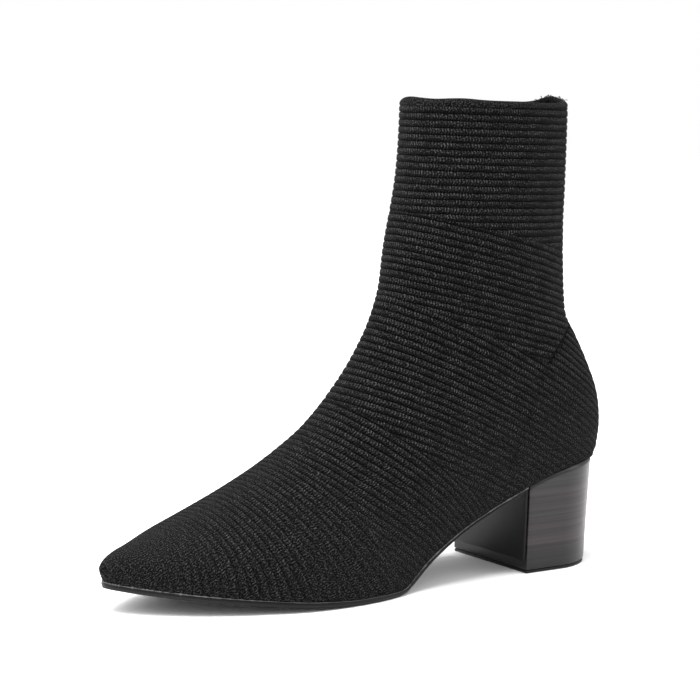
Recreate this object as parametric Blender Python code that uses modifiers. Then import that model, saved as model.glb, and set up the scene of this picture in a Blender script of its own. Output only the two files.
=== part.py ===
"""Knit ankle boot: a rib-knit sock upper, an insole, a thin outsole and a stacked block heel.

One left boot, standing empty on the floor, in metres. +X runs to the toe, +Y to the outer side
and +Z up. The origin is on the floor, in the middle of the heel.
"""

import math
from collections import namedtuple

import bmesh
import bpy

# Sizes of the last, which the upper, insole and outsole share
FOOT_LENGTH = 0.2500  # feather line, from the back of the heel to the tip of the toe
BALL_WIDTH = 0.0780  # feather line, across the ball
SEAT_WIDTH = 0.0590  # feather line, across the heel seat
SEAT_HEIGHT = 0.0487  # underside of the sole line at the back of the heel
TOE_SPRING = 0.0105  # lift of the outsole at the tip of the toe
TOE_SWAY = 0.0050  # how far the tip of the toe leans to the inner side
INSTEP_RISE = 0.0695  # height of the instep above the back of the heel seat

# Sizes of the leg
BOOT_HEIGHT = 0.2145
COLLAR_DEPTH = 0.0831
COLLAR_WIDTH = 0.0600
COLLAR_SETBACK = 0.0193  # from the back of the heel seat forward to the back of the collar

# Walls and layers
UPPER_WALL = 0.0018
INSOLE_THICKNESS = 0.0020
INSOLE_CLEARANCE = 0.0006  # between the insole and the inside of the upper
SOLE_THICKNESS = 0.0023  # at the toe and ball
SHANK_THICKNESS = 0.0012  # at the arch, where the sole is skived
SOLE_OVERHANG = 0.0006  # how far the sole's edge stands out past the upper
SEAM_GAP = 0.0003  # between pieces that lie on each other

# Heel block, breast flap and top lift
HEEL_DEPTH = 0.0480
HEEL_WIDTH = 0.0560
HEEL_TOP_DEPTH = 0.0505
SEAT_OVERHANG = 0.0020  # how far the back of the heel seat stands out past the block
TOP_LIFT_THICKNESS = 0.0013
TOP_LIFT_INSET = 0.0002
FLAP_THICKNESS = 0.0010
FLAP_END_HEIGHT = 0.0061
FLAP_INSET = 0.0008

# Where the sole touches the floor, as shares of the foot's length
TREAD_BACK_SHARE = 0.515
TREAD_FRONT_SHARE = 0.600
SPRING_POWER = 1.35
SKIVE_BACK_SHARE = 0.30  # the sole thickens from shank to ball between these
SKIVE_FRONT_SHARE = 0.60

# Plan and section shapes
SEAT_END_SHARE = 0.20  # the width is the seat's behind this, and the ball's past the next
BALL_START_SHARE = 0.50
HEEL_POWER = 2.0
EDGE_BULGE = 0.0003  # how far the middle of the sole's edge stands out
EDGE_UNDERCUT = 0.0006

# Mesh resolution
SIDE_COLUMNS = 17
SPACING_POWER = 1.2  # 1 spaces the columns evenly, more brings them closer at the feather line
RINGS_PER_ROW = 2
HEEL_STATIONS = 13
MERGE = 0.00001
UPPER_MERGE = 0.0009  # slivers this narrow at the heel seat would fold the inside of the wall

# Underside of the sole behind the tread: share of the foot's length, share of SEAT_HEIGHT
SHANK_CURVE = (
    (0.000, 1.000),
    (0.039, 0.990),
    (0.087, 0.967),
    (0.138, 0.920),
    (0.177, 0.865),
    (0.213, 0.797),
    (0.264, 0.690),
    (0.291, 0.632),
    (0.345, 0.502),
    (0.386, 0.380),
    (0.429, 0.238),
    (0.461, 0.112),
    (0.486, 0.027),
    (0.515, 0.000),
)

# Foot sections, toe to heel. along and crest are shares of FOOT_LENGTH, rise of INSTEP_RISE,
# the feather and bulge half-widths of the local width, and bulge_at of the section's height.
FootRow = namedtuple(
    "FootRow", "along outer inner crest rise bulge_outer bulge_inner bulge_at back_power power"
)
FOOT_ROWS = (
    FootRow(1.000, 0.000, 0.000, 1.008, 0.075, 0.000, 0.000, 0.42, 2.0, 2.0),
    FootRow(0.996, 0.045, 0.045, 1.005, 0.102, 0.058, 0.058, 0.42, 2.0, 2.0),
    FootRow(0.984, 0.090, 0.090, 0.993, 0.150, 0.104, 0.104, 0.41, 2.0, 2.0),
    FootRow(0.961, 0.154, 0.156, 0.971, 0.200, 0.168, 0.168, 0.39, 2.0, 2.0),
    FootRow(0.925, 0.235, 0.245, 0.936, 0.256, 0.250, 0.258, 0.37, 2.0, 2.0),
    FootRow(0.866, 0.340, 0.360, 0.885, 0.357, 0.355, 0.375, 0.34, 2.0, 1.95),
    FootRow(0.787, 0.434, 0.460, 0.818, 0.489, 0.462, 0.474, 0.30, 2.0, 1.9),
    FootRow(0.709, 0.504, 0.490, 0.755, 0.629, 0.520, 0.504, 0.26, 2.0, 1.9),
    FootRow(0.630, 0.515, 0.468, 0.695, 0.776, 0.532, 0.488, 0.24, 2.0, 1.9),
    FootRow(0.560, 0.492, 0.436, 0.650, 0.893, 0.512, 0.458, 0.25, 2.0, 1.9),
    FootRow(0.510, 0.449, 0.400, 0.624, 0.968, 0.476, 0.430, 0.26, 2.0, 1.9),
    FootRow(0.470, 0.410, 0.378, 0.604, 0.971, 0.450, 0.416, 0.27, 2.0, 1.9),
    FootRow(0.420, 0.397, 0.376, 0.579, 0.931, 0.446, 0.420, 0.28, 2.0, 1.9),
    FootRow(0.362, 0.415, 0.392, 0.557, 0.892, 0.468, 0.446, 0.30, 2.0, 1.95),
    FootRow(0.276, 0.466, 0.444, 0.532, 0.858, 0.510, 0.488, 0.32, 2.1, 2.0),
    FootRow(0.189, 0.498, 0.490, 0.514, 0.827, 0.530, 0.520, 0.33, 2.2, 2.0),
    FootRow(0.110, 0.480, 0.476, 0.500, 0.843, 0.530, 0.522, 0.34, 2.35, 2.0),
    FootRow(0.047, 0.382, 0.380, 0.488, 0.896, 0.528, 0.520, 0.35, 2.5, 2.0),
    FootRow(0.012, 0.212, 0.212, 0.480, 0.950, 0.526, 0.518, 0.37, 2.5, 2.0),
    FootRow(0.000, 0.000, 0.000, 0.474, 1.000, 0.524, 0.516, 0.39, 2.5, 2.0),
)

# Leg sections, heel seat to collar. back and front run from 0 at the heel seat and instep to 1 at
# the collar, in plan, and back_up and front_up are the same for heights. pinch scales the width.
LegRow = namedtuple("LegRow", "back back_up front front_up pinch bulge_at back_power")
LEG_ROWS = (
    LegRow(-0.110, 0.078, 0.106, 0.045, 1.000, 0.41, 2.45),
    LegRow(-0.045, 0.163, 0.211, 0.095, 0.992, 0.43, 2.35),
    LegRow(0.220, 0.247, 0.298, 0.151, 0.982, 0.45, 2.2),
    LegRow(0.580, 0.329, 0.360, 0.211, 0.974, 0.47, 2.1),
    LegRow(0.851, 0.387, 0.422, 0.271, 0.972, 0.49, 2.0),
    LegRow(0.943, 0.453, 0.497, 0.337, 0.976, 0.50, 2.0),
    LegRow(0.995, 0.526, 0.584, 0.402, 0.984, 0.50, 2.0),
    LegRow(1.026, 0.598, 0.683, 0.472, 0.990, 0.50, 2.0),
    LegRow(1.041, 0.671, 0.789, 0.553, 0.995, 0.50, 2.0),
    LegRow(1.026, 0.747, 0.882, 0.648, 1.000, 0.50, 2.0),
    LegRow(1.015, 0.828, 0.944, 0.754, 1.000, 0.50, 2.0),
    LegRow(1.005, 0.913, 0.981, 0.874, 1.000, 0.50, 2.0),
    LegRow(1.000, 1.000, 1.000, 1.000, 1.000, 0.50, 2.0),
)

Section = namedtuple(
    "Section",
    "base_x base_z crest_x crest_z outer inner bulge_outer bulge_inner bulge_at back_power power",
)

BREAST_X = HEEL_DEPTH / 2
BACK_X = BREAST_X - HEEL_TOP_DEPTH - SEAT_OVERHANG
CORNER = len(FOOT_ROWS) - 1  # the row that ends the foot at the back of the heel seat
COLLAR = CORNER + len(LEG_ROWS)


def mix(a, b, share):
    return a + (b - a) * share


def smooth_step(value, low, high):
    share = min(max((value - low) / (high - low), 0.0), 1.0)
    return share * share * (3 - 2 * share)


def along_x(share):
    return BACK_X + share * FOOT_LENGTH


def share_of(x):
    return (x - BACK_X) / FOOT_LENGTH


def spline(knots, place):
    """A smooth curve through knots[1] to knots[-2], which it meets at place 0, 1, 2 and so on."""
    span = min(max(int(math.floor(place)), 0), len(knots) - 4)
    t = place - span
    a, b, c, d = knots[span : span + 4]
    slope_b, slope_c = (c - a) / 2, (d - b) / 2
    return (
        b * (2 * t**3 - 3 * t**2 + 1)
        + slope_b * (t**3 - 2 * t**2 + t)
        + c * (3 * t**2 - 2 * t**3)
        + slope_c * (t**3 - t**2)
    )


def even(values):
    """Guides that make a curve level at both ends."""
    return [values[1], *values, values[-2]]


def straight(values):
    """Guides that carry a curve straight on past both ends."""
    return [2 * values[0] - values[1], *values, 2 * values[-1] - values[-2]]


def level_start(values):
    return [values[1], *values, 2 * values[-1] - values[-2]]


def table_value(rows, share):
    """Height from a table of share and value pairs, smoothed between its rows."""
    shares = [row[0] for row in rows]
    heights = [row[1] for row in rows]
    share = min(max(share, shares[0]), shares[-1])
    span = max(i for i in range(len(rows) - 1) if shares[i] <= share)
    low, high = shares[span], shares[span + 1]

    def slope(i):
        if i in (0, len(rows) - 1):
            return 0.0
        return (heights[i + 1] - heights[i - 1]) / (shares[i + 1] - shares[i - 1])

    t = (share - low) / (high - low)
    return (
        heights[span] * (2 * t**3 - 3 * t**2 + 1)
        + slope(span) * (high - low) * (t**3 - 2 * t**2 + t)
        + heights[span + 1] * (3 * t**2 - 2 * t**3)
        + slope(span + 1) * (high - low) * (t**3 - t**2)
    )


def sole_bottom(x):
    """Underside of the outsole: down the shank to a level tread, then up the toe spring."""
    share = share_of(x)
    if share < TREAD_BACK_SHARE:
        return SEAT_HEIGHT * table_value(SHANK_CURVE, share)
    if share < TREAD_FRONT_SHARE:
        return 0.0
    return TOE_SPRING * ((share - TREAD_FRONT_SHARE) / (1 - TREAD_FRONT_SHARE)) ** SPRING_POWER


def sole_thickness(x):
    skive = smooth_step(share_of(x), SKIVE_BACK_SHARE, SKIVE_FRONT_SHARE)
    return mix(SHANK_THICKNESS, SOLE_THICKNESS, skive)


def bottom_slope(x):
    step = FOOT_LENGTH / 500
    return (sole_bottom(x + step) - sole_bottom(x - step)) / (2 * step)


def stacked(x, layers):
    """Height of a layer above the sole's underside, with its thickness measured square to it."""
    return sole_bottom(x) + layers * math.hypot(1.0, bottom_slope(x))


def sole_top(x):
    return stacked(x, sole_thickness(x))


def feather_z(x):
    """Height of the edge where the upper turns under."""
    return stacked(x, sole_thickness(x) + SEAM_GAP)


def local_width(x):
    return mix(SEAT_WIDTH, BALL_WIDTH, smooth_step(share_of(x), SEAT_END_SHARE, BALL_START_SHARE))


def sway(x):
    """Sideways lean of the toe, which makes this the left boot of a pair."""
    past_ball = max(share_of(x) - BALL_START_SHARE, 0.0) / (1 - BALL_START_SHARE)
    return -TOE_SWAY * past_ball**2


def foot_sections():
    sections = []
    for row in FOOT_ROWS:
        x = along_x(row.along)
        width = local_width(x)
        sections.append(
            Section(
                x,
                feather_z(x),
                along_x(row.crest),
                feather_z(x) + row.rise * INSTEP_RISE,
                row.outer * width,
                row.inner * width,
                row.bulge_outer * width,
                row.bulge_inner * width,
                row.bulge_at,
                row.back_power,
                row.power,
            )
        )
    return sections


def leg_sections(corner):
    sections = []
    collar_back = BACK_X + COLLAR_SETBACK
    for row in LEG_ROWS:
        sections.append(
            Section(
                mix(BACK_X, collar_back, row.back),
                mix(corner.base_z, BOOT_HEIGHT, row.back_up),
                mix(corner.crest_x, collar_back + COLLAR_DEPTH, row.front),
                mix(corner.crest_z, BOOT_HEIGHT, row.front_up),
                0.0,
                0.0,
                mix(corner.bulge_outer, COLLAR_WIDTH / 2, row.front) * row.pinch,
                mix(corner.bulge_inner, COLLAR_WIDTH / 2, row.front) * row.pinch,
                row.bulge_at,
                row.back_power,
                corner.power,
            )
        )
    return sections


FOOT = foot_sections()
ALL = FOOT + leg_sections(FOOT[-1])
LEG = ALL[CORNER:]
SHARED = ("crest_x", "crest_z", "bulge_outer", "bulge_inner", "bulge_at", "back_power", "power")
EVEN_AT_TOE = ("crest_x", "bulge_at", "back_power", "power")
TRACKS = {
    name: (level_start if name in EVEN_AT_TOE else straight)([getattr(s, name) for s in ALL])
    for name in SHARED
}
FOOT_X = even([s.base_x for s in FOOT])
FOOT_OUTER = straight([s.outer for s in FOOT])
FOOT_INNER = straight([s.inner for s in FOOT])
LEG_X = straight([s.base_x for s in LEG])
LEG_Z = straight([s.base_z for s in LEG])


def section_at(place):
    """The section at a row number, whole or not, with 0 at the toe and COLLAR at the top."""
    shared = {name: spline(knots, place) for name, knots in TRACKS.items()}
    if place <= CORNER:
        x = spline(FOOT_X, place)
        base = (x, feather_z(x))
        outer, inner = spline(FOOT_OUTER, place), spline(FOOT_INNER, place)
    else:
        base = (spline(LEG_X, place - CORNER), spline(LEG_Z, place - CORNER))
        outer = inner = 0.0
    return Section(
        base[0],
        base[1],
        shared["crest_x"],
        shared["crest_z"],
        max(outer, 0.0),
        max(inner, 0.0),
        max(shared["bulge_outer"], 0.0),
        max(shared["bulge_inner"], 0.0),
        shared["bulge_at"],
        shared["back_power"],
        shared["power"],
    )


def half_width(section, feather, bulge, up):
    """Half-width of a section at a share of the way from its base up to its crest."""
    if bulge <= 0:
        return 0.0
    if up < section.bulge_at:
        power = section.back_power
        hollow = 1 - (feather / bulge) ** power
        return bulge * max(1 - (1 - up / section.bulge_at) ** power * hollow, 0.0) ** (1 / power)
    rest = (up - section.bulge_at) / (1 - section.bulge_at)
    return bulge * max(1 - rest**section.power, 0.0) ** (1 / section.power)


def spaced_along(points, count):
    """count points along a line of points, a little closer together at its start."""
    lengths = [0.0]
    for a, b in zip(points, points[1:]):
        lengths.append(lengths[-1] + math.dist(a, b))
    spaced, i = [], 0
    for k in range(count):
        wanted = lengths[-1] * (k / (count - 1)) ** SPACING_POWER
        while i < len(points) - 2 and lengths[i + 1] < wanted:
            i += 1
        step = lengths[i + 1] - lengths[i]
        share = (wanted - lengths[i]) / step if step > 0 else 0.0
        spaced.append(tuple(mix(a, b, share) for a, b in zip(points[i], points[i + 1])))
    return spaced


def section_side(section, feather, bulge, side, fine=72):
    """One side of a section, from the feather edge up to the crest, as points in space."""
    points = []
    for k in range(fine + 1):
        up = 0.5 - 0.5 * math.cos(math.pi * k / fine)
        x = mix(section.base_x, section.crest_x, up)
        z = mix(section.base_z, section.crest_z, up)
        width = half_width(section, feather, bulge, up)
        points.append((x, side * width + sway(x), z))
    return spaced_along(points, SIDE_COLUMNS)


def edge_at(place, side, inset):
    """The feather line at a row number, moved inwards in plan, as x and y."""
    knots = FOOT_OUTER if side > 0 else FOOT_INNER
    before, after = max(place - 0.01, 0.0), min(place + 0.01, float(CORNER))
    run_x = spline(FOOT_X, after) - spline(FOOT_X, before)
    run_y = spline(knots, after) - spline(knots, before)
    length = math.hypot(run_x, run_y)
    x = spline(FOOT_X, place) - run_y / length * inset
    width = spline(knots, place) + run_x / length * inset
    return x, side * max(width, 0.0) + sway(x)


def upper_ring(place):
    """Points over the upper, from the outer feather edge to the crest and down to the inner."""
    section = section_at(place)
    outer = section_side(section, section.outer, section.bulge_outer, 1)
    inner = section_side(section, section.inner, section.bulge_inner, -1)
    return [*outer, *reversed(inner[:-1])]


def new_object(name, mesh_builder, material, parts, merge=MERGE):
    """A named object from a bmesh that mesh_builder fills."""
    shape = bmesh.new()
    mesh_builder(shape)
    bmesh.ops.remove_doubles(shape, verts=shape.verts, dist=merge)
    bmesh.ops.dissolve_degenerate(shape, edges=shape.edges, dist=MERGE)
    bmesh.ops.recalc_face_normals(shape, faces=shape.faces)
    mesh = bpy.data.meshes.new(name)
    shape.to_mesh(mesh)
    shape.free()
    obj = bpy.data.objects.new(name, mesh)
    parts.objects.link(obj)
    mesh.materials.append(material)
    mesh.shade_smooth()
    mesh.set_sharp_from_angle(angle=math.radians(35))
    return obj


def join_rings(shape, rings, closed):
    """Quads between each ring of points and the next."""
    loops = [[shape.verts.new(point) for point in ring] for ring in rings]
    count = len(loops[0])
    last = count if closed else count - 1
    for low, high in zip(loops, loops[1:]):
        for i in range(last):
            j = (i + 1) % count
            shape.faces.new((low[i], low[j], high[j], high[i]))
    return loops


def upper_shell(shape):
    rings = [upper_ring(k / RINGS_PER_ROW) for k in range(COLLAR * RINGS_PER_ROW + 1)]
    join_rings(shape, rings, closed=False)


def make_upper(material, parts):
    """The knit sock, one wall from the feather line to the collar."""
    upper = new_object("upper", upper_shell, material, parts, UPPER_MERGE)
    wall = upper.modifiers.new("wall", "SOLIDIFY")
    wall.thickness = UPPER_WALL
    wall.offset = -1
    wall.use_even_offset = True
    wall.use_rim = True
    return upper


def sole_section(outer, inner):
    """Six points round the sole from its two top edges, each an x, y and z."""
    half = (outer[1] - inner[1]) / 2
    bulge = EDGE_BULGE if half > EDGE_UNDERCUT else 0.0
    tuck = min(EDGE_UNDERCUT, half)
    points = []
    for side, (x, y, top) in ((1, outer), (-1, inner)):
        bottom = sole_bottom(x)
        points.append(
            [
                (x, y, top),
                (x, y + side * bulge, (top + bottom) / 2),
                (x, y - side * tuck, bottom),
            ]
        )
    return points[0] + points[1][::-1]


def flap_section(x_back, x_front, z_back, z_front):
    """Six points round the flap that carries the sole down the breast of the heel."""
    back = heel_half_width(z_back) - FLAP_INSET
    front = heel_half_width(z_front) - FLAP_INSET - EDGE_UNDERCUT
    middle = ((x_back + x_front) / 2, (z_back + z_front) / 2)
    return [
        (x_back, back, z_back),
        (middle[0], back, middle[1]),
        (x_front, front, z_front),
        (x_front, -front, z_front),
        (middle[0], -back, middle[1]),
        (x_back, -back, z_back),
    ]


def outsole_shell(shape):
    """From the toe's tip back along the feather line, then down the heel's breast as a flap."""
    back_x = BREAST_X + SEAM_GAP
    front_x = back_x + FLAP_THICKNESS
    sections, k = [], 0
    while spline(FOOT_X, k / RINGS_PER_ROW) > front_x + FLAP_THICKNESS:
        edges = []
        for side in (1, -1):
            x, y = edge_at(k / RINGS_PER_ROW, side, -SOLE_OVERHANG)
            edges.append((x, y, sole_top(x)))
        sections.append(sole_section(*edges))
        k += 1
    top, turn = sole_top(back_x), sole_bottom(front_x)
    sections.append(flap_section(back_x, front_x, top, turn))
    for share in (0.25, 0.5, 0.75, 1.0):
        z = mix(turn, FLAP_END_HEIGHT, share)
        sections.append(flap_section(back_x, front_x, z, z))
    loops = join_rings(shape, sections, closed=True)
    shape.faces.new(loops[-1])


def heel_half_width(height):
    """Half-width of the block at a height above the floor."""
    return mix(HEEL_WIDTH, SEAT_WIDTH, height / SEAT_HEIGHT) / 2


def heel_outline(height, inset=0.0):
    """Half of the block's plan at a height: pairs of x and half-width, breast to back."""
    width = heel_half_width(height) - inset
    depth = mix(HEEL_DEPTH, HEEL_TOP_DEPTH, height / SEAT_HEIGHT) - inset
    front = BREAST_X - inset
    back = BREAST_X - depth
    round_start = back + width
    outline = []
    for k in range(HEEL_STATIONS + 1):
        if k <= 2:
            x = mix(front, round_start, k / 3)
            outline.append((x, width))
            continue
        turn = math.pi / 2 * (k - 3) / (HEEL_STATIONS - 3)
        x = round_start - width * math.sin(turn) ** (2 / HEEL_POWER)
        outline.append((x, width * max(math.cos(turn), 0.0) ** (2 / HEEL_POWER)))
    return outline


def full_ring(outline, height_at):
    """The outline and its mirror image as one closed ring, without doubling the back point."""
    outer = [(x, y, height_at(x)) for x, y in outline]
    inner = [(x, -y, height_at(x)) for x, y in reversed(outline[:-1])]
    return outer + inner


def ladder_cap(shape, loop):
    """Closes a ring whose points face each other in pairs, rung by rung."""
    count = len(loop)
    rungs = [(loop[i], loop[count - 1 - i]) for i in range(count // 2)]
    for (a, b), (c, d) in zip(rungs, rungs[1:]):
        shape.faces.new((a, c, d, b))
    shape.faces.new((rungs[-1][0], loop[count // 2], rungs[-1][1]))


def heel_block_shell(shape):
    """A D-shaped block that widens upwards and is cut to the slope of the heel seat."""
    bottom = TOP_LIFT_THICKNESS + SEAM_GAP
    rings = [full_ring(heel_outline(bottom), lambda x: bottom)]
    for share in (1 / 3, 2 / 3, 1.0):
        outline = heel_outline(mix(bottom, SEAT_HEIGHT, share))
        rings.append(full_ring(outline, lambda x, share=share: mix(bottom, sole_top(x), share)))
    loops = join_rings(shape, rings, closed=True)
    ladder_cap(shape, loops[0])
    ladder_cap(shape, loops[-1])


def top_lift_shell(shape):
    outline = heel_outline(0.0, TOP_LIFT_INSET)
    rings = [full_ring(outline, lambda x, z=z: z) for z in (0.0, TOP_LIFT_THICKNESS)]
    loops = join_rings(shape, rings, closed=True)
    ladder_cap(shape, loops[0])
    ladder_cap(shape, loops[-1])


def insole_shell(shape):
    """A board inside the upper, which lies on the outsole and the heel block."""
    sections = []
    for k in range(CORNER * RINGS_PER_ROW + 1):
        sides = []
        for side in (1, -1):
            x, y = edge_at(k / RINGS_PER_ROW, side, UPPER_WALL + INSOLE_CLEARANCE)
            under = sole_thickness(x) + SEAM_GAP
            sides.append([(x, y, stacked(x, under + INSOLE_THICKNESS)), (x, y, stacked(x, under))])
        sections.append(sides[0] + sides[1][::-1])
    join_rings(shape, sections, closed=True)


def material(name, colour, roughness):
    """A plain finish, with its colour in linear values."""
    made = bpy.data.materials.new(name)
    made.use_nodes = True
    made.diffuse_color = (*colour, 1.0)
    shader = made.node_tree.nodes["Principled BSDF"]
    shader.inputs["Base Color"].default_value = (*colour, 1.0)
    shader.inputs["Roughness"].default_value = roughness
    shader.inputs["Metallic"].default_value = 0.0
    return made


def clear_scene():
    for obj in list(bpy.data.objects):
        bpy.data.objects.remove(obj)


def main():
    clear_scene()
    parts = bpy.data.collections.new("knit_ankle_boot")
    bpy.context.scene.collection.children.link(parts)
    knit = material("black_rib_knit", (0.012, 0.012, 0.013), 0.9)
    lining = material("black_sock_lining", (0.016, 0.016, 0.017), 0.8)
    rubber = material("black_outsole_rubber", (0.018, 0.018, 0.019), 0.45)
    stack = material("dark_stacked_heel", (0.055, 0.045, 0.045), 0.25)
    lift = material("black_top_lift_rubber", (0.008, 0.008, 0.008), 0.6)
    make_upper(knit, parts)
    new_object("insole", insole_shell, lining, parts)
    new_object("outsole", outsole_shell, rubber, parts)
    new_object("heel_block", heel_block_shell, stack, parts)
    new_object("top_lift", top_lift_shell, lift, parts)


main()
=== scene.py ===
"""Knit ankle boot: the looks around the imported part, in metres."""

import math
from collections import namedtuple

import bmesh
import bpy
import numpy as np
from mathutils import Matrix, Vector


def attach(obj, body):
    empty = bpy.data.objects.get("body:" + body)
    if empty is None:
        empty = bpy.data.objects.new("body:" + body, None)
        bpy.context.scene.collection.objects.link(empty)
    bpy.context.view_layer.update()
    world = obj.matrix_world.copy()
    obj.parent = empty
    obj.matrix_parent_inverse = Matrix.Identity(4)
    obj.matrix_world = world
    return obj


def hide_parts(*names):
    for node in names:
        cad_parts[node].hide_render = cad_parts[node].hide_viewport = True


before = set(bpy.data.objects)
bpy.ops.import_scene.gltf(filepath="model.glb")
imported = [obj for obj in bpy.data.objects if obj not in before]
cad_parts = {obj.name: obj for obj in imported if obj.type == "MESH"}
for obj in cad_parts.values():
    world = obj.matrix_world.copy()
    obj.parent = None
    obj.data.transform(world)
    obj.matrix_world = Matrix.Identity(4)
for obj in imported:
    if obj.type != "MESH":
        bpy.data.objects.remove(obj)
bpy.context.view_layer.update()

# Sizes of the last, the same as the part's
FOOT_LENGTH = 0.2500
BALL_WIDTH = 0.0780
SEAT_WIDTH = 0.0590
SEAT_HEIGHT = 0.0487
TOE_SPRING = 0.0105
TOE_SWAY = 0.0050
INSTEP_RISE = 0.0695
BOOT_HEIGHT = 0.2145
COLLAR_DEPTH = 0.0831
COLLAR_WIDTH = 0.0600
COLLAR_SETBACK = 0.0193
UPPER_WALL = 0.0018
SOLE_THICKNESS = 0.0023
SHANK_THICKNESS = 0.0012
SEAM_GAP = 0.0003
HEEL_DEPTH = 0.0480
HEEL_TOP_DEPTH = 0.0505
HEEL_WIDTH = 0.0560
TOP_LIFT_THICKNESS = 0.0013
SEAT_OVERHANG = 0.0020
TREAD_BACK, TREAD_FRONT = 0.515, 0.600
SPRING_POWER = 1.35
SKIVE_BACK, SKIVE_FRONT = 0.30, 0.60
SEAT_END, BALL_START = 0.20, 0.50

SHANK_CURVE = (
    (0.000, 1.000),
    (0.039, 0.990),
    (0.087, 0.967),
    (0.138, 0.920),
    (0.177, 0.865),
    (0.213, 0.797),
    (0.264, 0.690),
    (0.291, 0.632),
    (0.345, 0.502),
    (0.386, 0.380),
    (0.429, 0.238),
    (0.461, 0.112),
    (0.486, 0.027),
    (0.515, 0.000),
)

FootRow = namedtuple(
    "FootRow", "along outer inner crest rise bulge_outer bulge_inner bulge_at back_power power"
)
FOOT_ROWS = (
    FootRow(1.000, 0.000, 0.000, 1.008, 0.075, 0.000, 0.000, 0.42, 2.0, 2.0),
    FootRow(0.996, 0.045, 0.045, 1.005, 0.102, 0.058, 0.058, 0.42, 2.0, 2.0),
    FootRow(0.984, 0.090, 0.090, 0.993, 0.150, 0.104, 0.104, 0.41, 2.0, 2.0),
    FootRow(0.961, 0.154, 0.156, 0.971, 0.200, 0.168, 0.168, 0.39, 2.0, 2.0),
    FootRow(0.925, 0.235, 0.245, 0.936, 0.256, 0.250, 0.258, 0.37, 2.0, 2.0),
    FootRow(0.866, 0.340, 0.360, 0.885, 0.357, 0.355, 0.375, 0.34, 2.0, 1.95),
    FootRow(0.787, 0.434, 0.460, 0.818, 0.489, 0.462, 0.474, 0.30, 2.0, 1.9),
    FootRow(0.709, 0.504, 0.490, 0.755, 0.629, 0.520, 0.504, 0.26, 2.0, 1.9),
    FootRow(0.630, 0.515, 0.468, 0.695, 0.776, 0.532, 0.488, 0.24, 2.0, 1.9),
    FootRow(0.560, 0.492, 0.436, 0.650, 0.893, 0.512, 0.458, 0.25, 2.0, 1.9),
    FootRow(0.510, 0.449, 0.400, 0.624, 0.968, 0.476, 0.430, 0.26, 2.0, 1.9),
    FootRow(0.470, 0.410, 0.378, 0.604, 0.971, 0.450, 0.416, 0.27, 2.0, 1.9),
    FootRow(0.420, 0.397, 0.376, 0.579, 0.931, 0.446, 0.420, 0.28, 2.0, 1.9),
    FootRow(0.362, 0.415, 0.392, 0.557, 0.892, 0.468, 0.446, 0.30, 2.0, 1.95),
    FootRow(0.276, 0.466, 0.444, 0.532, 0.858, 0.510, 0.488, 0.32, 2.1, 2.0),
    FootRow(0.189, 0.498, 0.490, 0.514, 0.827, 0.530, 0.520, 0.33, 2.2, 2.0),
    FootRow(0.110, 0.480, 0.476, 0.500, 0.843, 0.530, 0.522, 0.34, 2.35, 2.0),
    FootRow(0.047, 0.382, 0.380, 0.488, 0.896, 0.528, 0.520, 0.35, 2.5, 2.0),
    FootRow(0.012, 0.212, 0.212, 0.480, 0.950, 0.526, 0.518, 0.37, 2.5, 2.0),
    FootRow(0.000, 0.000, 0.000, 0.474, 1.000, 0.524, 0.516, 0.39, 2.5, 2.0),
)

LegRow = namedtuple("LegRow", "back back_up front front_up pinch bulge_at back_power")
LEG_ROWS = (
    LegRow(-0.110, 0.078, 0.106, 0.045, 1.000, 0.41, 2.45),
    LegRow(-0.045, 0.163, 0.211, 0.095, 0.992, 0.43, 2.35),
    LegRow(0.220, 0.247, 0.298, 0.151, 0.982, 0.45, 2.2),
    LegRow(0.580, 0.329, 0.360, 0.211, 0.974, 0.47, 2.1),
    LegRow(0.851, 0.387, 0.422, 0.271, 0.972, 0.49, 2.0),
    LegRow(0.943, 0.453, 0.497, 0.337, 0.976, 0.50, 2.0),
    LegRow(0.995, 0.526, 0.584, 0.402, 0.984, 0.50, 2.0),
    LegRow(1.026, 0.598, 0.683, 0.472, 0.990, 0.50, 2.0),
    LegRow(1.041, 0.671, 0.789, 0.553, 0.995, 0.50, 2.0),
    LegRow(1.026, 0.747, 0.882, 0.648, 1.000, 0.50, 2.0),
    LegRow(1.015, 0.828, 0.944, 0.754, 1.000, 0.50, 2.0),
    LegRow(1.005, 0.913, 0.981, 0.874, 1.000, 0.50, 2.0),
    LegRow(1.000, 1.000, 1.000, 1.000, 1.000, 0.50, 2.0),
)

BREAST_X = HEEL_DEPTH / 2
BACK_X = BREAST_X - HEEL_TOP_DEPTH - SEAT_OVERHANG
CORNER = len(FOOT_ROWS) - 1
COLLAR = CORNER + len(LEG_ROWS)

# The knit
RIB_PITCH = 3.1  # mm from one rib to the next, on the turned rim
RIB_DEPTH = 0.00062  # from a rib's crest to its valley
RIB_SINK = 0.62  # share of a rib's height that lies inside the last's surface
FLAT_KNIT = 0.6  # height of knit without ribs, as a share of a rib's
EDGE_KNIT = 0.3  # height of the knit where two panels meet, as a share of a rib's
EDGE_BLEND = 0.7  # mm over which a rib dies out at its panel's edge
SEAM_DEPTH = 0.0004  # how far a joining seam pulls the knit in
LOOP_PITCH = 1.35  # mm along a rib; the real loops, 0.9 mm, are too fine for the picture
ROWS_PER_RIB = (0.0, 0.05, 0.12, 0.22, 0.36, 0.5, 0.64, 0.78, 0.88, 0.95)
STEPS = 16  # table rows for each row of the last
SIDE = 88  # columns on each side of the crest
SECTION_POINTS = 141  # points on one side of a section, before they are spaced evenly
LIP = 0.0035  # how far the knit turns in under the feather line
LIP_DROP = 0.00015  # how far the turned-in edge hangs below it
HEM = 0.0034  # height of the rolled hem
WAVE_REACH, WAVE_FULL = 0.0045, 0.0010  # below the rim: where its waving ends, and is full
RIM_BLUR = 0.08  # share of half the way round over which the rim's waves are smoothed
LINING_TOP = 0.0085  # below the rim, where the lining meets the turned hem
THREAD_COLUMNS = (*range(1, 10), *range(163, 177, 2))  # at the back of the collar
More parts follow.
